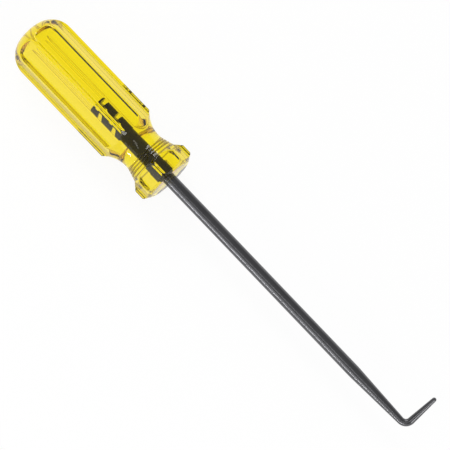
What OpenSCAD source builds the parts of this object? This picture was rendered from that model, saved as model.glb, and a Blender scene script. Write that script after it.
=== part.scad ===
// Hooked O-ring pick: a clear fluted handle turned from bar, and a round steel
// shank with a nicked tang inside it and a hook, near a right angle, at its end.
// It lies at rest on two ribs of the handle, with its length along X, in millimetres.

/* [Handle] */
// Diameter over the ribs
handle_d = 31.75; // [28:0.25:36]
// Length of the grip, from the butt to where it turns down to the neck
barrel_l = 67.6; // [60:0.2:80]
// Radius of the rounded edge of the butt
butt_round = 12; // [6:0.5:13]
// Number of flutes, which is also the number of ribs
flutes = 8; // [6:2:10]
// Depth of a flute below the ribs
flute_depth = 2.4; // [1.4:0.1:2.8]
// Slope of a flute's sides, from the line to the axis
flute_flare = 52; // [40:1:55]
// Width of the land on top of a rib
rib_w = 0.4; // [0.3:0.1:2]

/* [Neck and collar] */
// Diameter of the neck at its waist
neck_d = 21.6; // [18:0.2:23]
// Length of the hollow curve from the grip to the waist
neck_back_l = 12; // [9:0.2:16]
// Length from the waist to the foot of the collar
neck_front_l = 8.3; // [7.2:0.1:10]
// Radius of the curve in front of the waist
waist_round = 7; // [4:0.5:8]
// Angle of the cone that rises to the collar
neck_cone = 16; // [10:1:18]
// Number of fine turned grooves on the cone
neck_grooves = 3; // [1:1:3]
// Distance from the waist to the first groove
groove_start = 3.2; // [2.6:0.1:4]
// Distance between the grooves, along the axis
groove_pitch = 1.55; // [1.2:0.05:1.8]
// Radius of the tool that turned the grooves
groove_round = 0.4; // [0.4:0.05:0.5]
// Depth of a groove
groove_depth = 0.4; // [0.1:0.05:0.4]
// Length of the collar's back slope
collar_back_l = 3.5; // [2.5:0.1:5]
// Length of the collar's straight land
collar_land_l = 5.1; // [3:0.1:7]
// Length of the bevel on the collar's front edge
collar_bevel_l = 2.3; // [1.5:0.1:4]
// Height of the bevel on the collar's front edge
collar_bevel_h = 4.1; // [2.6:0.1:5]

/* [Shank] */
// Diameter of the round bar
shank_d = 6.35; // [6:0.05:7.5]
// Length from the collar face to the middle of the hook
reach = 163; // [120:0.2:200]
// Length of the taper in front of the bend
taper_l = 32; // [20:0.5:45]
// Diameter of the bar at the bend
bend_d = 3.6; // [2.8:0.1:4.4]
// Radius of the bend, at the middle of the bar
bend_round = 3.6; // [3:0.1:6]
// How far the hook leans forward of a right angle
hook_lean = 1.8; // [0:0.2:6]
// Length of the hook, from the shank's axis to its tip
hook_l = 19.3; // [13:0.1:26]
// Diameter of the hook at its rounded tip
tip_d = 2.2; // [1.4:0.1:2.7]

/* [Tang] */
// Length of the shank inside the handle
tang_l = 50.2; // [42:0.2:56]
// Diameter of the tang
tang_d = 5.8; // [5.4:0.1:6]
// Length of the full bar behind the collar face
seat_l = 8; // [5:0.5:14]
// Chamfer on the tang's end
tang_chamfer = 0.4; // [0.2:0.1:0.8]
// Number of pressed nicks on each side
nicks = 2; // [1:1:3]
// Distance between the nicks
nick_pitch = 9.5; // [8.4:0.1:10]
// Distance from the tang's end to the first nick's middle
nick_start = 2.2; // [2:0.1:4]
// How far the nicks of the other side are set on
nick_stagger = 2.6; // [2.4:0.1:3.4]
// Width of a nick at its mouth
nick_w = 2.6; // [1.8:0.1:2.8]
// Depth of a nick
nick_depth = 3.2; // [1.2:0.1:3.3]
// Slope of a nick's sides
nick_slope = 6; // [3:1:12]
// How far the nicks of the other side lean forward
nick_lean = 28; // [0:1:35]
// How far the pressed-out wings stand out of the bar
wing_h = 1.1; // [0.5:0.1:1.6]
// Thickness of the wings
wing_t = 1.3; // [0.8:0.1:1.6]
// Clearance all round the tang in its socket
socket_gap = 0.05; // [0.03:0.01:0.1]

/* [Hidden] */
$fn = 96;
past = 1;

handle_r = handle_d / 2;
neck_r = neck_d / 2;
shank_r = shank_d / 2;
tang_r = tang_d / 2;
bend_r = bend_d / 2;
tip_r = tip_d / 2;

// the bar turns through this angle into the hook
bend_deg = 90 - hook_lean;

// places along the axis, from the butt
waist_z = barrel_l + neck_back_l;
collar_z = waist_z + neck_front_l;
land_z = collar_z + collar_back_l;
bevel_z = land_z + collar_land_l;
handle_l = bevel_z + collar_bevel_l;
tang_z = handle_l - tang_l;
seat_z = handle_l - seat_l;
hook_z = handle_l + reach;
bend_z = hook_z - bend_round * sin(bend_deg);
taper_z = bend_z - taper_l;

// the bar and the hook run on into the bend, a hair thinner, so that they are one solid
join_in = bend_r / 6;
join_ease = 0.03;

// the hollow of the neck meets the grip's edge and lies level at the waist
neck_drop = handle_r - neck_r;
neck_round = (pow(neck_back_l, 2) + pow(neck_drop, 2)) / (2 * neck_drop);

// the cone runs on from the waist's curve to the collar's foot
cone_z = waist_z + waist_round * sin(neck_cone);
cone_r = neck_r + waist_round * (1 - cos(neck_cone));
foot_r = cone_r + (collar_z - cone_z) * tan(neck_cone);
grooves_z = waist_z + groove_start;

// a rib's land is half a rib wide on each side of its middle
pitch_deg = 360 / flutes;
rib_deg = asin(rib_w / handle_d);
edge_deg = pitch_deg / 2 - rib_deg;
floor_r = handle_r - flute_depth;
edge_r = handle_r * cos(edge_deg);
edge_half = handle_r * sin(edge_deg);

// the hook starts where the bend ends and runs straight to its tip
hook_x = bend_round * (1 - cos(bend_deg));
hook_run = (hook_l - tip_r - hook_x) / sin(bend_deg);
tip_z = hook_z + hook_run * cos(bend_deg);
front_z = max(hook_z + bend_r * sin(bend_deg), tip_z + tip_r);

// at rest a flute faces the floor, and the hook lines up with a rib above the level
hook_deg = 90 + pitch_deg / 2;
axis_h = edge_r;
side_y = max([for (i = [0:flutes - 1]) for (s = [-1, 1])
    handle_r * sin((i + 0.5) * pitch_deg + s * rib_deg)]);
hook_y = (hook_l - tip_r) * sin(hook_deg) + tip_r;
mid_x = front_z / 2;
mid_y = (max(side_y, hook_y) - side_y) / 2;

// lays a piece that is drawn along Z, from the butt, in its rest place along X
module laid() {
    translate([-mid_x, -mid_y, axis_h])
        rotate([0, 90, 0])
            children();
}

// the handle's lathe outline: across is the radius, up is the place on the axis
module turned_outline() {
    difference() {
        union() {
            square([handle_r - butt_round, barrel_l]);
            translate([0, butt_round])
                square([handle_r, bevel_z - butt_round]);
            translate([handle_r - butt_round, butt_round])
                circle(butt_round);
            polygon([
                [0, bevel_z], [handle_r, bevel_z],
                [handle_r - collar_bevel_h, handle_l], [0, handle_l]
            ]);
        }
        neck_hollow();
        for (i = [0:neck_grooves - 1])
            neck_groove(grooves_z + i * groove_pitch);
        translate([-handle_d, -past])
            square([handle_d, handle_l + 2 * past]);
    }
}

// what the lathe takes away between the grip and the collar
module neck_hollow() {
    intersection() {
        translate([neck_r + neck_round, waist_z])
            circle(neck_round);
        translate([0, barrel_l])
            square([handle_r + past, neck_back_l]);
    }
    intersection() {
        union() {
            translate([neck_r + waist_round, waist_z])
                circle(waist_round);
            translate([neck_r + waist_round, waist_z - past])
                square([handle_r, cone_z - waist_z + past]);
        }
        translate([0, waist_z - past])
            square([handle_r + past, cone_z - waist_z + past]);
    }
    polygon([
        [cone_r, cone_z], [foot_r, collar_z], [handle_r, land_z],
        [handle_r + past, land_z], [handle_r + past, cone_z - past],
        [cone_r + past, cone_z - past]
    ]);
}

// one fine groove across the neck's cone
module neck_groove(z) {
    out = groove_round - groove_depth;
    translate([cone_r + (z - cone_z) * tan(neck_cone), z])
        rotate(-neck_cone)
            translate([out, 0])
                circle(groove_round);
}

// one flute, a flat-bottomed channel with sloping sides along the whole handle
module flute() {
    run = handle_r + past;
    floor_half = edge_half - (edge_r - floor_r) * tan(flute_flare);
    run_half = edge_half + (run - edge_r) * tan(flute_flare);
    translate([0, 0, -past])
        linear_extrude(handle_l + 2 * past)
            polygon([
                [floor_r, -floor_half], [run, -run_half],
                [run, run_half], [floor_r, floor_half]
            ]);
}

// one nick pressed into the bar, open to +X, smaller by the gap
module nick(gap, lean) {
    floor_x = tang_r - nick_depth + gap;
    mouth_x = tang_r + past;
    mouth_half = nick_w / 2 - gap + past * tan(nick_slope);
    floor_half = mouth_half - (mouth_x - floor_x) * tan(nick_slope);
    floor_on = gap * tan(lean);
    mouth_on = (past + nick_depth) * tan(lean);
    rotate([90, 0, 0])
        linear_extrude(2 * shank_d, center = true)
            polygon([
                [floor_x, floor_on - floor_half], [mouth_x, mouth_on - mouth_half],
                [mouth_x, mouth_on + mouth_half], [floor_x, floor_on + floor_half]
            ]);
}

// the two wings that a nick presses out of the bar's sides, larger by the gap
module wings(gap) {
    tip_y = tang_r + wing_h + gap;
    root_half = nick_w / 2 + gap;
    tip_half = nick_w / 4 + gap;
    translate([tang_r - nick_depth - wing_t - gap, 0, 0])
        rotate([90, 0, 90])
            linear_extrude(wing_t + 2 * gap)
                polygon([
                    [-tip_y, -tip_half], [0, -root_half], [tip_y, -tip_half],
                    [tip_y, tip_half], [0, root_half], [-tip_y, tip_half]
                ]);
}

// one side's row of nicks, with its wings
module nick_row(gap, first_z, shape, lean) {
    for (i = [0:nicks - 1])
        translate([0, 0, first_z + i * nick_pitch])
            if (shape == "nick") nick(gap, lean); else wings(gap);
}

// both rows: the second is on the other side and set on along the bar
module nick_rows(gap, shape) {
    rotate(hook_deg) {
        nick_row(gap, tang_z + nick_start, shape, 0);
        rotate(180)
            nick_row(gap, tang_z + nick_start + nick_stagger, shape, nick_lean);
    }
}

// the tang's end of the bar's outline, larger by the gap
function tang_points(gap) = [
    [0, tang_z - gap], [tang_r - tang_chamfer + gap, tang_z - gap],
    [tang_r + gap, tang_z + tang_chamfer - gap],
    [tang_r + gap, seat_z - gap], [shank_r + gap, seat_z - gap]
];

// the bar's outline in front of the tang, drawn down to the bend
bar_points = [
    [shank_r, taper_z], [bend_r - join_ease, bend_z + join_in], [0, bend_z + join_in]
];

// the socket's outline, which runs out through the collar face
socket_points = [
    [shank_r + socket_gap, handle_l + past], [0, handle_l + past]
];

// a turned bar with the tang's nicks and wings: the shank, or with a gap its socket
module nicked_bar(gap, front_points) {
    difference() {
        rotate_extrude()
            polygon(concat(tang_points(gap), front_points));
        nick_rows(gap, "nick");
    }
    nick_rows(gap, "wing");
}

// the hook's lathe outline, from inside the bend to its rounded tip
module hook_outline() {
    difference() {
        union() {
            polygon([
                [0, -join_in], [bend_r - join_ease, -join_in], [tip_r, hook_run], [0, hook_run]
            ]);
            translate([0, hook_run])
                circle(tip_r);
        }
        translate([-bend_d, -bend_d])
            square([bend_d, hook_l + 2 * bend_d]);
    }
}

// the bend and the hook, pointing away from the axis along +X
module hook() {
    translate([bend_round, 0, bend_z])
        rotate([90, 0, 180])
            rotate_extrude(angle = bend_deg)
                translate([bend_round, 0])
                    circle(bend_r);
    translate([hook_x, 0, hook_z])
        rotate([0, bend_deg, 0])
            rotate_extrude()
                hook_outline();
}

module handle() {
    color([0.96, 0.85, 0.1, 0.7])
        laid()
            difference() {
                rotate_extrude()
                    turned_outline();
                for (i = [0:flutes - 1])
                    rotate(i * pitch_deg)
                        flute();
                nicked_bar(socket_gap, socket_points);
            }
}

module pick_shank() {
    color([0.17, 0.17, 0.18])
        laid() {
            nicked_bar(0, bar_points);
            rotate(hook_deg)
                hook();
        }
}

handle();
pick_shank();
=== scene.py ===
import math

import bmesh
import bpy
from mathutils import Matrix, Vector


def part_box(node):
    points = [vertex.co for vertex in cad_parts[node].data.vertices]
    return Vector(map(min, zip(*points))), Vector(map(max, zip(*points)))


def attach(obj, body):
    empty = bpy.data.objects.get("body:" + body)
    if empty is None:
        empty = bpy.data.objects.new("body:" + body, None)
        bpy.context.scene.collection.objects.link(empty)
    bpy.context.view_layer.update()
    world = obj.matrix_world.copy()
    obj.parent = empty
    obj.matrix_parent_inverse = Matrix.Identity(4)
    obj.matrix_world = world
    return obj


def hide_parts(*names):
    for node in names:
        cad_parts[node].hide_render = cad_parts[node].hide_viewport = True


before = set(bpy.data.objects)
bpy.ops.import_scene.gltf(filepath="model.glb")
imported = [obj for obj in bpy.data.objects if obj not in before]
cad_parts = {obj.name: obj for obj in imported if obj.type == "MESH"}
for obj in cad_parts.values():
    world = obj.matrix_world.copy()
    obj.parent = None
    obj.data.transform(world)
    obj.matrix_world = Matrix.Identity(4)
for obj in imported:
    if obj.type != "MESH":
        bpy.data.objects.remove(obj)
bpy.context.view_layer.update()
mm = 0.001
weldWithin = 1e-6        # points nearer than this are one, in metres


# shader maths: a wrapped socket, so that masks are written as plain expressions
class Wire:
    def __init__(self, tree, socket):
        self.tree = tree
        self.socket = socket

    def maths(self, operation, first, second):
        node = self.tree.nodes.new("ShaderNodeMath")
        node.operation = operation
        for slot, value in zip(node.inputs, (first, second)):
            plug(self.tree, slot, value)
        return Wire(self.tree, node.outputs[0])

    def __add__(self, other):
        return self.maths("ADD", self, other)

    def __radd__(self, other):
        return self.maths("ADD", other, self)

    def __sub__(self, other):
        return self.maths("SUBTRACT", self, other)

    def __rsub__(self, other):
        return self.maths("SUBTRACT", other, self)

    def __mul__(self, other):
        return self.maths("MULTIPLY", self, other)

    def __rmul__(self, other):
        return self.maths("MULTIPLY", other, self)

    def upTo(self, other):
        return self.maths("MAXIMUM", self, other)

    def below(self, other):
        return self.maths("LESS_THAN", self, other)

    def size(self):
        return self.maths("ABSOLUTE", self, 0.0)


# sets a socket to a value, or links it to a wrapped socket
def plug(tree, slot, value):
    if isinstance(value, Wire):
        tree.links.new(value.socket, slot)
    else:
        slot.default_value = value


class Finish:
    def __init__(self, owner, outKind="ShaderNodeOutputMaterial"):
        owner.use_nodes = True
        self.owner = owner
        self.tree = owner.node_tree
        self.tree.nodes.clear()
        self.out = self.node(outKind)

    # any node: its type, its settings, then its sockets' values or links
    def node(self, kind, settings=None, sockets=None):
        made = self.tree.nodes.new(kind)
        for key, value in (settings or {}).items():
            if key == "stops":
                self.setStops(made.color_ramp, value)
            else:
                setattr(made, key, value)
        for key, value in (sockets or {}).items():
            plug(self.tree, made.inputs[key], value)
        return made

    def setStops(self, ramp, stops):
        while len(ramp.elements) < len(stops):
            ramp.elements.new(1.0)
        for element, (place, colour) in zip(ramp.elements, stops):
            element.position = place
            element.color = colour

    def wire(self, made, output=0):
        return Wire(self.tree, made.outputs[output])

    # object coordinates, drawn out for a pattern that runs along the tool
    def place(self, drawnOut=1.0):
        coords = self.node("ShaderNodeTexCoord")
        mapped = self.node("ShaderNodeMapping", {"vector_type": "TEXTURE"}, {
            "Vector": self.wire(coords, "Object"),
            "Scale": (drawnOut, 1.0, 1.0),
        })
        return self.wire(mapped)

    # the place along the tool, in metres
    def along(self):
        split = self.node("ShaderNodeSeparateXYZ", None, {0: self.place()})
        return self.wire(split, "X")

    def noise(self, where, scale, detail=4.0, rough=0.55):
        made = self.node("ShaderNodeTexNoise", None, {
            "Vector": where, "Scale": scale, "Detail": detail, "Roughness": rough,
        })
        return self.wire(made, "Fac")

    def ramp(self, value, stops):
        made = self.node("ShaderNodeValToRGB", {"stops": stops}, {"Fac": value})
        return self.wire(made, "Color")

    def bump(self, height, strength, distance):
        made = self.node("ShaderNodeBump", None, {
            "Height": height, "Strength": strength, "Distance": distance,
        })
        return self.wire(made)

    def surface(self, shader):
        plug(self.tree, self.out.inputs["Surface"], self.wire(shader))


# the middle of the butt's end, where the tool's axis starts
def axisStart():
    low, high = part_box("handle")
    return Vector((low.x, (low.y + high.y) / 2, (low.z + high.z) / 2))


# an outline spun all the way round an axis
def spunBody(outline, centre, axis, steps):
    shape = bmesh.new()
    line = [shape.verts.new(point) for point in outline]
    for first, second in zip(line, line[1:]):
        shape.edges.new((first, second))
    bmesh.ops.spin(shape, geom=shape.verts[:] + shape.edges[:], cent=centre, axis=axis,
                   dvec=(0, 0, 0), angle=2 * math.pi, steps=steps,
                   use_merge=True, use_duplicate=False)
    bmesh.ops.remove_doubles(shape, verts=shape.verts[:], dist=weldWithin)
    return shape


def meshOf(shape, name):
    mesh = bpy.data.meshes.new(name)
    shape.to_mesh(mesh)
    shape.free()
    return mesh


# a mesh, lamp or camera as an object in the scene
def inScene(name, data):
    thing = bpy.data.objects.new(name, data)
    bpy.context.scene.collection.objects.link(thing)
    return thing


# puts a shape in the scene in place of its CAD node
def finishPiece(shape, name, node, material):
    mesh = meshOf(shape, name)
    mesh.polygons.foreach_set("use_smooth", [True] * len(mesh.polygons))
    mesh.materials.append(material)
    piece = inScene(name, mesh)
    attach(piece, "root")
    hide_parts(node)
    print(name, "made with", len(mesh.polygons), "faces")
    return piece


# sizes in mm, angles in degrees
handleForm = {
    "ribRadius": 15.875,     # over the ribs
    "barrelLength": 67.6,
    "buttRound": 12.0,
    "flutes": 8,
    "fluteDepth": 2.4,
    "fluteFlare": 52.0,      # slope of a flute's sides
    "ribWidth": 0.4,
    "ribEdge": 0.12,         # how far the edges of the ribs are rounded off
    "fluteFoot": 0.5,        # the hollow at the foot of a flute's sides
    "neckRadius": 10.8,
    "neckBack": 12.0,
    "neckFront": 8.3,
    "waistRound": 7.0,
    "neckCone": 16.0,
    "grooves": 3,
    "grooveStart": 3.2,      # from the waist
    "groovePitch": 1.55,
    "grooveRound": 0.4,
    "grooveDepth": 0.4,
    "collarBack": 3.5,
    "collarLand": 5.1,
    "bevelLength": 2.3,
    "bevelHeight": 4.1,
    "bevelEase": 0.8,        # rounding of the bevel's two edges
    "barrelEnd": 2.0,        # the last of the barrel, with closer rings
    "columns": 384,          # steps of the spin
    "buttFaceSteps": 5,      # steps of the outline from here on
    "roundSteps": 36,
    "barrelSteps": 8,
    "waistSteps": 5,
    "coneSteps": 90,
    "slopeSteps": 14,
    "easeSteps": 8,
    "faceSteps": 12,
}


# a run of points on a line, without its first one
def lineRun(start, end, steps):
    return [(start[0] + (end[0] - start[0]) * i / steps,
             start[1] + (end[1] - start[1]) * i / steps) for i in range(1, steps + 1)]


# a run of points on an arc about a centre, without its first one
def arcRun(centre, radius, fromDeg, toDeg, steps):
    run = []
    for i in range(1, steps + 1):
        turn = math.radians(fromDeg + (toDeg - fromDeg) * i / steps)
        run.append((centre[0] + radius * math.cos(turn), centre[1] + radius * math.sin(turn)))
    return run


# a line up to a corner, and the corner rounded off on the way to the next point
def easedCorner(start, corner, end, ease, steps):
    start, corner, end = Vector(start), Vector(corner), Vector(end)
    inward = (start - corner).normalized()
    onward = (end - corner).normalized()
    run = lineRun(start, corner + inward * ease, steps)
    for i in range(1, steps + 1):
        t = i / steps
        bend = corner + inward * ease * (1 - t) ** 2 + onward * ease * t ** 2
        run.append((bend.x, bend.y))
    return run


# where the fine turned grooves are, from the waist
def grooveMiddles(form):
    return [form["grooveStart"] + i * form["groovePitch"] for i in range(form["grooves"])]


# the cone of the neck, with its grooves
def groovedCone(form, start, end):
    waist = form["barrelLength"] + form["neckBack"]
    stand = form["grooveRound"] - form["grooveDepth"]
    run = []
    for place, radius in lineRun(start, end, form["coneSteps"]):
        for middle in grooveMiddles(form):
            off = abs(place - waist - middle)
            if off < form["grooveRound"]:
                radius -= max(0.0, math.sqrt(form["grooveRound"] ** 2 - off ** 2) - stand)
        run.append((place, radius))
    return run


# the lathe outline as (place on the axis, radius), from the butt to the collar face
def turnedOutline(form):
    rib = form["ribRadius"]
    barrel = form["barrelLength"]
    butt = form["buttRound"]
    neck = form["neckRadius"]
    waistRound = form["waistRound"]
    waist = barrel + form["neckBack"]
    drop = rib - neck
    hollow = (form["neckBack"] ** 2 + drop ** 2) / (2 * drop)
    hollowDeg = math.degrees(math.asin(form["neckBack"] / hollow))
    cone = math.radians(form["neckCone"])
    coneStart = (waist + waistRound * math.sin(cone), neck + waistRound * (1 - math.cos(cone)))
    foot = waist + form["neckFront"]
    coneEnd = (foot, coneStart[1] + (foot - coneStart[0]) * math.tan(cone))
    land = foot + form["collarBack"]
    landEnd = (land + form["collarLand"], rib)
    faceEdge = (landEnd[0] + form["bevelLength"], rib - form["bevelHeight"])
    faceMiddle = (faceEdge[0], 0.0)
    ease = (form["bevelEase"], form["easeSteps"])

    points = [(0.0, 0.0)]
    points += lineRun(points[-1], (0.0, rib - butt), form["buttFaceSteps"])
    points += arcRun((butt, rib - butt), butt, 180, 90, form["roundSteps"])
    points += lineRun(points[-1], (barrel - form["barrelEnd"], rib), form["barrelSteps"])
    points += lineRun(points[-1], (barrel, rib), form["barrelSteps"])
    points += arcRun((waist, neck + hollow), hollow, 270 - hollowDeg, 270, form["roundSteps"])
    points += arcRun((waist, neck + waistRound), waistRound, 270, 270 + form["neckCone"],
                     form["waistSteps"])
    points += groovedCone(form, coneStart, coneEnd)
    points += lineRun(points[-1], (land, rib), form["slopeSteps"])
    points += easedCorner(points[-1], landEnd, faceEdge, *ease)
    points += easedCorner(points[-1], faceEdge, faceMiddle, *ease)
    points += lineRun(points[-1], faceMiddle, form["faceSteps"])
    return points


# the lesser of two lengths, blended over a width
def softLess(first, second, width):
    near = max(width - abs(first - second), 0.0) / width
    return min(first, second) - near * near * width / 4


# how far out the fluted bar reaches at an angle from straight down
def flutedReach(form, angle):
    rib = form["ribRadius"]
    pitch = 2 * math.pi / form["flutes"]
    off = abs((angle + pitch / 2) % pitch - pitch / 2)
    edge = pitch / 2 - math.asin(form["ribWidth"] / 2 / rib)
    flare = math.tan(math.radians(form["fluteFlare"]))
    floor = (rib - form["fluteDepth"]) / math.cos(off)
    side = rib * (math.sin(edge) - math.cos(edge) * flare) / (math.sin(off) - math.cos(off) * flare)
    return -softLess(-floor, -side, form["fluteFoot"])


def makeHandle():
    form = handleForm
    start = axisStart()
    outline = [(start.x + place * mm, start.y, start.z + radius * mm)
               for place, radius in turnedOutline(form)]
    shape = spunBody(outline, start, (1, 0, 0), form["columns"])
    bmesh.ops.recalc_face_normals(shape, faces=shape.faces[:])
    # press the flutes into the turned body, with rounded rib edges
    for point in shape.verts:
        out = Vector((point.co.y - start.y, point.co.z - start.z))
        radius = out.length
        if radius < weldWithin:
            continue
        reach = flutedReach(form, math.atan2(out.x, -out.y)) * mm
        out *= softLess(radius, reach, form["ribEdge"] * mm) / radius
        point.co.y = start.y + out.x
        point.co.z = start.z + out.y
    return finishPiece(shape, "clear_handle", "handle", amberPlastic())


amberLook = {
    "ior": 1.48,
    "absorbColour": (0.987, 0.963, 0.02, 1.0),
    "absorbDensity": 190.0,      # per metre
    "tint": (0.99, 0.895, 0.2, 1.0),
    "polish": 0.02,              # roughness where it is clean
    "handling": 0.05,            # more of it where hands have dulled it
    "smudgeScale": 90.0,
    "smudgeDetail": 5.0,
    "linesDrawnOut": 12.0,       # faint lines of the drawn bar
    "linesScale": 900.0,
    "linesDetail": 3.0,
    "linesBump": 0.008,
    "linesHeight": 0.0002,       # in metres
    # painted shade: the darker colour of the grooves and of the corner at the collar's foot
    "grooveShadeTint": (0.28, 0.21, 0.05, 1.0),
    "grooveRough": 0.25,
    "grooveHalf": 0.31,          # half width of the dull lines, which are also darkened as painted shade, in mm
}


# the fine turned grooves and the corner at the collar's foot, which the tool left dull, and which are
# also darkened in colour as painted shade
def grooveShadeAndDullMask(finish):
    form = handleForm
    waist = axisStart().x + (form["barrelLength"] + form["neckBack"]) * mm
    along = finish.along()
    dullAndShaded = 0.0
    for line in grooveMiddles(form) + [form["neckFront"]]:
        dullAndShaded = (along - (waist + line * mm)).size().below(amberLook["grooveHalf"] * mm) + dullAndShaded
    return dullAndShaded


def amberPlastic():
    look = amberLook
    finish = Finish(bpy.data.materials.new("amberPlastic"))
    smudge = finish.noise(finish.place(), look["smudgeScale"], look["smudgeDetail"])
    lines = finish.noise(finish.place(look["linesDrawnOut"]), look["linesScale"], look["linesDetail"])
    dullAndShaded = grooveShadeAndDullMask(finish)
    shader = finish.node("ShaderNodeBsdfPrincipled", None, {
        # the darker tint in the grooves and at the foot corner is painted shade, and the added
        # roughness is their dull finish
        "Base Color": finish.ramp(dullAndShaded, [(0.0, look["tint"]), (1.0, look["grooveShadeTint"])]),
        "Roughness": look["polish"] + look["handling"] * smudge * smudge + look["grooveRough"] * dullAndShaded,
        "IOR": look["ior"],
        "Transmission Weight": 1.0,
        "Normal": finish.bump(lines, look["linesBump"], look["linesHeight"]),
    })
    finish.surface(shader)
    amber = finish.node("ShaderNodeVolumeAbsorption", None, {
        "Color": look["absorbColour"], "Density": look["absorbDensity"],
    })
    plug(finish.tree, finish.out.inputs["Volume"], finish.wire(amber))
    return finish.owner


# sizes in mm, angles in degrees
shankForm = {
    "radius": 3.175,
    "tangRadius": 2.9,
    "tangLength": 50.2,      # behind the collar face
    "tangChamfer": 0.4,
    "seatLength": 8.0,       # of full bar inside the collar
    "reach": 163.0,          # from the collar face to the foot of the hook
    "taper": 32.0,
    "bendRadius": 1.8,       # of the bar at the bend
    "bendRound": 3.6,        # of the bend itself
    "hookDeg": 88.2,         # the bar turns through this into the hook
    "hookLength": 19.3,
    "tipRadius": 1.1,
    "tipDeg": 85.0,          # the tip is rounded this far, then closed flat
    "hookRise": 22.5,        # the hook points this far above the level
    "nicks": 2,
    "nickPitch": 9.5,
    "nickStart": 2.2,
    "nickStagger": 2.6,
    "nickWidth": 2.6,
    "nickDepth": 3.2,
    "nickSlope": 6.0,
    "nickLean": 28.0,        # of the second row
    "nickPast": 1.0,         # how far the cutter stands out of the bar
    "wingHeight": 1.1,
    "wingThick": 1.3,
    "columns": 64,           # steps of the spin
    "bendSteps": 24,
    "tipSteps": 9,
    "sharpOver": 32.0,       # edges that turn by more than this stay sharp
}

# a wing's outline, in half widths of a nick along the bar and wing heights to the side
wingOutline = ((-0.5, -1), (-1, 0), (-0.5, 1), (0.5, 1), (1, 0), (0.5, -1))


# where the shank stands: along the tool from the butt, across to the hook, and to the side, in mm
class ShankPlace:
    def __init__(self, form):
        low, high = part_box("handle")
        rise = math.radians(form["hookRise"])
        self.butt = axisStart()
        self.face = (high.x - low.x) / mm
        self.along = Vector((1, 0, 0))
        self.across = Vector((0, math.cos(rise), math.sin(rise)))
        self.side = Vector((0, -math.sin(rise), math.cos(rise)))

    def way(self, along, across, side=0.0):
        return (self.along * along + self.across * across + self.side * side) * mm

    def point(self, along, across, side=0.0):
        return self.butt + self.way(along, across, side)


def onlyOf(kind, items):
    return [item for item in items if isinstance(item, kind)]


# draws an open rim on: moved along, then scaled about its own middle
def drawOn(shape, rim, move, scale):
    grown = bmesh.ops.extrude_edge_only(shape, edges=rim)["geom"]
    points = onlyOf(bmesh.types.BMVert, grown)
    bmesh.ops.translate(shape, vec=move, verts=points)
    middle = sum((point.co for point in points), Vector()) / len(points)
    bmesh.ops.scale(shape, vec=(scale, scale, scale), space=Matrix.Translation(-middle), verts=points)
    return [edge for edge in onlyOf(bmesh.types.BMEdge, grown) if edge.is_boundary]


# a prism: a flat outline pushed through
def pushThrough(shape, corners, push):
    face = shape.faces.new([shape.verts.new(corner) for corner in corners])
    grown = bmesh.ops.extrude_face_region(shape, geom=[face], use_keep_orig=True)["geom"]
    bmesh.ops.translate(shape, vec=push, verts=onlyOf(bmesh.types.BMVert, grown))


def looseObject(shape, name):
    bmesh.ops.recalc_face_normals(shape, faces=shape.faces[:])
    return inScene(name, meshOf(shape, name))


# the bar before its nicks: turned from the tang to the bend, then drawn on as the hook
def barBlank(form, place):
    tail = place.face - form["tangLength"]
    seat = place.face - form["seatLength"]
    turn = math.radians(form["hookDeg"])
    bend = place.face + form["reach"] - form["bendRound"] * math.sin(turn)
    tang = form["tangRadius"]
    outline = [
        (tail, 0.0),
        (tail, tang - form["tangChamfer"]),
        (tail + form["tangChamfer"], tang),
        (seat, tang),
        (seat, form["radius"]),
        (bend - form["taper"], form["radius"]),
        (bend, form["bendRadius"]),
    ]
    points = [place.point(along, radius) for along, radius in outline]
    shape = spunBody(points, place.butt, place.along, form["columns"])
    # the open end goes round the bend, runs out as the hook and closes in a round tip
    rim = [edge for edge in shape.edges if edge.is_boundary]
    corners = list({corner for edge in rim for corner in edge.verts})
    turned = bmesh.ops.spin(shape, geom=corners + rim, cent=place.point(bend, form["bendRound"]),
                            axis=place.side, dvec=(0, 0, 0), angle=turn, steps=form["bendSteps"],
                            use_merge=False, use_duplicate=False)
    rim = onlyOf(bmesh.types.BMEdge, turned["geom_last"])
    heading = place.way(math.cos(turn), math.sin(turn))
    tip = form["tipRadius"]
    run = (form["hookLength"] - tip - form["bendRound"] * (1 - math.cos(turn))) / math.sin(turn)
    rim = drawOn(shape, rim, heading * run, tip / form["bendRadius"])
    step = math.radians(form["tipDeg"]) / form["tipSteps"]
    for i in range(form["tipSteps"]):
        here = step * i
        there = step * (i + 1)
        move = heading * tip * (math.sin(there) - math.sin(here))
        rim = drawOn(shape, rim, move, math.cos(there) / math.cos(here))
    bmesh.ops.edgeloop_fill(shape, edges=rim)
    return looseObject(shape, "barBlank")


# the nicks, and the wings of metal that they press out of the bar's sides
def nicksAndWings(form, place):
    nicks = bmesh.new()
    wings = bmesh.new()
    tang = form["tangRadius"]
    floor = tang - form["nickDepth"]
    mouth = tang + form["nickPast"]
    slope = math.tan(math.radians(form["nickSlope"]))
    half = form["nickWidth"] / 2
    floorHalf = half - (tang - floor) * slope
    mouthHalf = half + (mouth - tang) * slope
    clear = 2 * tang         # the cutter starts this far to the side, well off the bar
    wingTip = tang + form["wingHeight"]
    for row, way in enumerate((1, -1)):
        on = row * (mouth - floor) * math.tan(math.radians(form["nickLean"]))
        for i in range(form["nicks"]):
            at = place.face - form["tangLength"] + form["nickStart"] + row * form["nickStagger"]
            at += i * form["nickPitch"]
            pushThrough(nicks, [
                place.point(at - floorHalf, way * floor, -clear),
                place.point(at + on - mouthHalf, way * mouth, -clear),
                place.point(at + on + mouthHalf, way * mouth, -clear),
                place.point(at + floorHalf, way * floor, -clear),
            ], place.way(0, 0, 2 * clear))
            pushThrough(wings, [
                place.point(at + along * half, way * floor, side * wingTip)
                for along, side in wingOutline
            ], place.way(0, -way * form["wingThick"]))
    return looseObject(nicks, "nickCutter"), looseObject(wings, "wingPlates")


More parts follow.
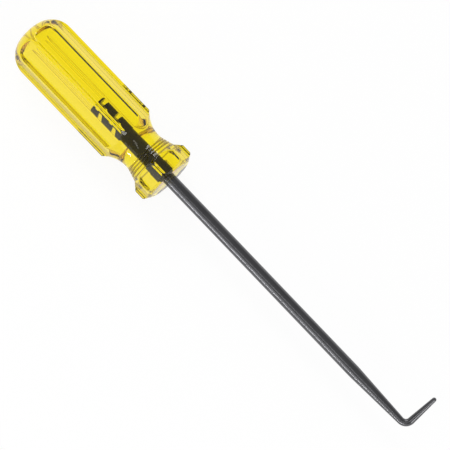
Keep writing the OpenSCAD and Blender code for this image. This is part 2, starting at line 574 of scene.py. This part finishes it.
# a new mesh of a thing after boolean cuts and joins
def combined(thing, steps):
    for other, operation in steps:
        step = thing.modifiers.new(other.name, "BOOLEAN")
        step.operation = operation
        step.solver = "EXACT"
        step.object = other
    seen = thing.evaluated_get(bpy.context.evaluated_depsgraph_get())
    return bpy.data.meshes.new_from_object(seen)


def makeShank():
    form = shankForm
    place = ShankPlace(form)
    bar = barBlank(form, place)
    nicks, wings = nicksAndWings(form, place)
    shape = bmesh.new()
    shape.from_mesh(combined(bar, [(nicks, "DIFFERENCE"), (wings, "UNION")]))
    bmesh.ops.remove_doubles(shape, verts=shape.verts[:], dist=weldWithin)
    bmesh.ops.recalc_face_normals(shape, faces=shape.faces[:])
    for thing in (bar, nicks, wings):
        bpy.data.objects.remove(thing)
    piece = finishPiece(shape, "hooked_shank", "pick_shank", blackSteel())
    piece.data.set_sharp_from_angle(angle=math.radians(form["sharpOver"]))
    return piece


steelLook = {
    "dark": (0.095, 0.095, 0.1, 1.0),
    "light": (0.135, 0.135, 0.142, 1.0),
    "darkUpTo": 0.3,         # of the mottling
    "lightFrom": 0.7,
    "scale": 0.27,           # how much of that tone is left where the bar runs inside the handle, a darkening that is painted shade
    "roughLow": 0.18,
    "roughHigh": 0.24,
    "metal": 0.95,
    "linesDrawnOut": 14.0,   # lines of the drawn bar
    "linesScale": 700.0,
    "linesShare": 0.6,       # of the mottling, and the rest is clouds
    "linesBump": 0.015,
    "linesHeight": 0.0001,   # in metres
    "cloudScale": 120.0,
}

# a Mix node's sockets for colours, which share their names with those for numbers
mixFirst = 6
mixSecond = 7
mixResult = 2


def blackSteel():
    look = steelLook
    finish = Finish(bpy.data.materials.new("blackSteel"))
    lines = finish.noise(finish.place(look["linesDrawnOut"]), look["linesScale"])
    cloud = finish.noise(finish.place(), look["cloudScale"])
    mottle = look["linesShare"] * lines + (1 - look["linesShare"]) * cloud
    tone = finish.ramp(mottle, [(look["darkUpTo"], look["dark"]), (look["lightFrom"], look["light"])])
    # painted shade: the bar's colour is darkened where it runs inside the handle
    tang = finish.along().below(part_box("handle")[1].x)
    shadedInside = finish.node("ShaderNodeMix", {"data_type": "RGBA", "blend_type": "MULTIPLY"}, {
        "Factor": tang,
        mixFirst: tone,
        mixSecond: (look["scale"], look["scale"], look["scale"], 1.0),
    })
    shader = finish.node("ShaderNodeBsdfPrincipled", None, {
        "Base Color": finish.wire(shadedInside, mixResult),
        "Metallic": look["metal"],
        "Roughness": look["roughLow"] + (look["roughHigh"] - look["roughLow"]) * cloud,
        "Normal": finish.bump(lines, look["linesBump"], look["linesHeight"]),
    })
    finish.surface(shader)
    return finish.owner


stageLook = {
    "floorSize": 6.0,            # in metres
    "floorTone": (0.9, 0.9, 0.9, 1.0),
    "white": (1.0, 1.0, 1.0, 1.0),
    "whiteLevel": 1.06,          # of the floor's white
    "showWhite": 0.86,           # share of it that is seen, and the rest takes the shadow
    "worldLevel": 0.4,
    "backdropTop": 20.0,         # the backdrop is white up to here, in degrees
    "ceilingThrough": 0.55,      # how near to white the ceiling is through the plastic
}


# rays that show the stage itself: straight, mirrored by the metal or through the plastic
def whiteRays(finish):
    path = finish.node("ShaderNodeLightPath")
    seen = finish.wire(path, "Is Camera Ray").upTo(finish.wire(path, "Is Glossy Ray"))
    return seen.upTo(finish.wire(path, "Is Transmission Ray"))


def makeFloor():
    look = stageLook
    shape = bmesh.new()
    bmesh.ops.create_grid(shape, x_segments=1, y_segments=1, size=look["floorSize"] / 2)
    mesh = meshOf(shape, "floor")
    finish = Finish(bpy.data.materials.new("paleFloor"))
    paper = finish.node("ShaderNodeBsdfDiffuse", None, {"Color": look["floorTone"]})
    white = finish.node("ShaderNodeEmission", None, {
        "Color": look["white"], "Strength": look["whiteLevel"],
    })
    mix = finish.node("ShaderNodeMixShader", None, {
        0: look["showWhite"] * whiteRays(finish), 1: finish.wire(paper), 2: finish.wire(white),
    })
    finish.surface(mix)
    mesh.materials.append(finish.owner)
    floor = inScene("floor", mesh)
    print("floor laid")


# a white backdrop under a dimmer ceiling, which is paler through the plastic
def makeWorld():
    look = stageLook
    studio = Finish(bpy.data.worlds.new("studio"), "ShaderNodeOutputWorld")
    bpy.context.scene.world = studio.owner
    coords = studio.node("ShaderNodeTexCoord")
    split = studio.node("ShaderNodeSeparateXYZ", None, {0: studio.wire(coords, "Generated")})
    backdrop = studio.wire(split, "Z").below(math.sin(math.radians(look["backdropTop"])))
    through = studio.wire(studio.node("ShaderNodeLightPath"), "Is Transmission Ray")
    white = (whiteRays(studio) * backdrop).upTo(look["ceilingThrough"] * through)
    studio.surface(studio.node("ShaderNodeBackground", None, {
        "Color": look["white"],
        "Strength": look["worldLevel"] + (1 - look["worldLevel"]) * white,
    }))
    print("world set")


lampAim = (0.0, 0.0, 0.015)      # about the middle of the tool
lampSet = [
    # name, place, width, depth, watts, and the one piece that it lights
    ("sidePanel", (0.0, -0.95, 0.42), 1.4, 0.6, 2.2, None),
    ("sideStrip", (0.0, -0.85, 0.04), 1.2, 0.035, 2.8, "hooked_shank"),
    ("buttBox", (-0.95, 0.3, 0.95), 0.5, 0.4, 3.0, None),
    ("topPanel", (0.5, -1.25, 3.4), 2.4, 0.4, 7.0, None),
    ("tipBox", (1.03, -0.19, 0.5), 0.35, 0.35, 1.9, None),
    ("neckBox", (-0.06, -0.85, 0.13), 0.16, 0.14, 1.2, "clear_handle"),
]


def makeLamps():
    for name, place, width, depth, watts, only in lampSet:
        lamp = bpy.data.lights.new(name, "AREA")
        lamp.shape = "RECTANGLE"
        lamp.size = width
        lamp.size_y = depth
        lamp.energy = watts
        holder = inScene(name, lamp)
        holder.location = place
        aim = Vector(lampAim) - holder.location
        holder.rotation_euler = aim.to_track_quat("-Z", "Y").to_euler()
        holder.visible_transmission = False     # the plastic shows the stage, not the lamps
        if only:
            lit = bpy.data.collections.new(name + "Lit")
            lit.objects.link(bpy.data.objects[only])
            holder.light_linking.receiver_collection = lit
    print("lamps lit")


cameraSet = {
    "distance": 3.0,         # in metres
    "lens": 504.75,
    "tipTowards": 8.18,      # the tool's tip leans this far to the camera, degrees
    "fromUpright": 20.0,     # the camera stands this far off the upright, about the tool's axis
    "roll": 46.24,           # turns the tool to run down to the right
    "along": 1.07,           # the middle of the picture, along the tool and aside from it, in mm
    "aside": 3.93,
    "clipStart": 0.05,
    "clipEnd": 20.0,
}


def makeCamera():
    view = cameraSet
    start = axisStart()
    tilt = math.radians(view["tipTowards"])
    lean = math.radians(view["fromUpright"])
    roll = math.radians(view["roll"])
    back = Vector((math.sin(tilt), -math.cos(tilt) * math.sin(lean), math.cos(tilt) * math.cos(lean)))
    along = Vector((math.cos(tilt), math.sin(tilt) * math.sin(lean), -math.sin(tilt) * math.cos(lean)))
    aside = back.cross(along)
    right = math.cos(roll) * along + math.sin(roll) * aside
    up = back.cross(right)
    target = Vector((view["along"] * mm, start.y, start.z)) + aside * view["aside"] * mm
    lens = bpy.data.cameras.new("camera")
    lens.lens = view["lens"]
    lens.clip_start = view["clipStart"]
    lens.clip_end = view["clipEnd"]
    camera = inScene("camera", lens)
    turn = Matrix((right, up, back)).transposed().to_4x4()
    camera.matrix_world = Matrix.Translation(target + back * view["distance"]) @ turn
    bpy.context.scene.camera = camera
    print("camera set")


makeCamera()
makeHandle()
makeShank()
makeFloor()
makeWorld()
makeLamps()
bpy.context.scene.view_settings.view_transform = "Standard"

bpy.context.view_layer.update()
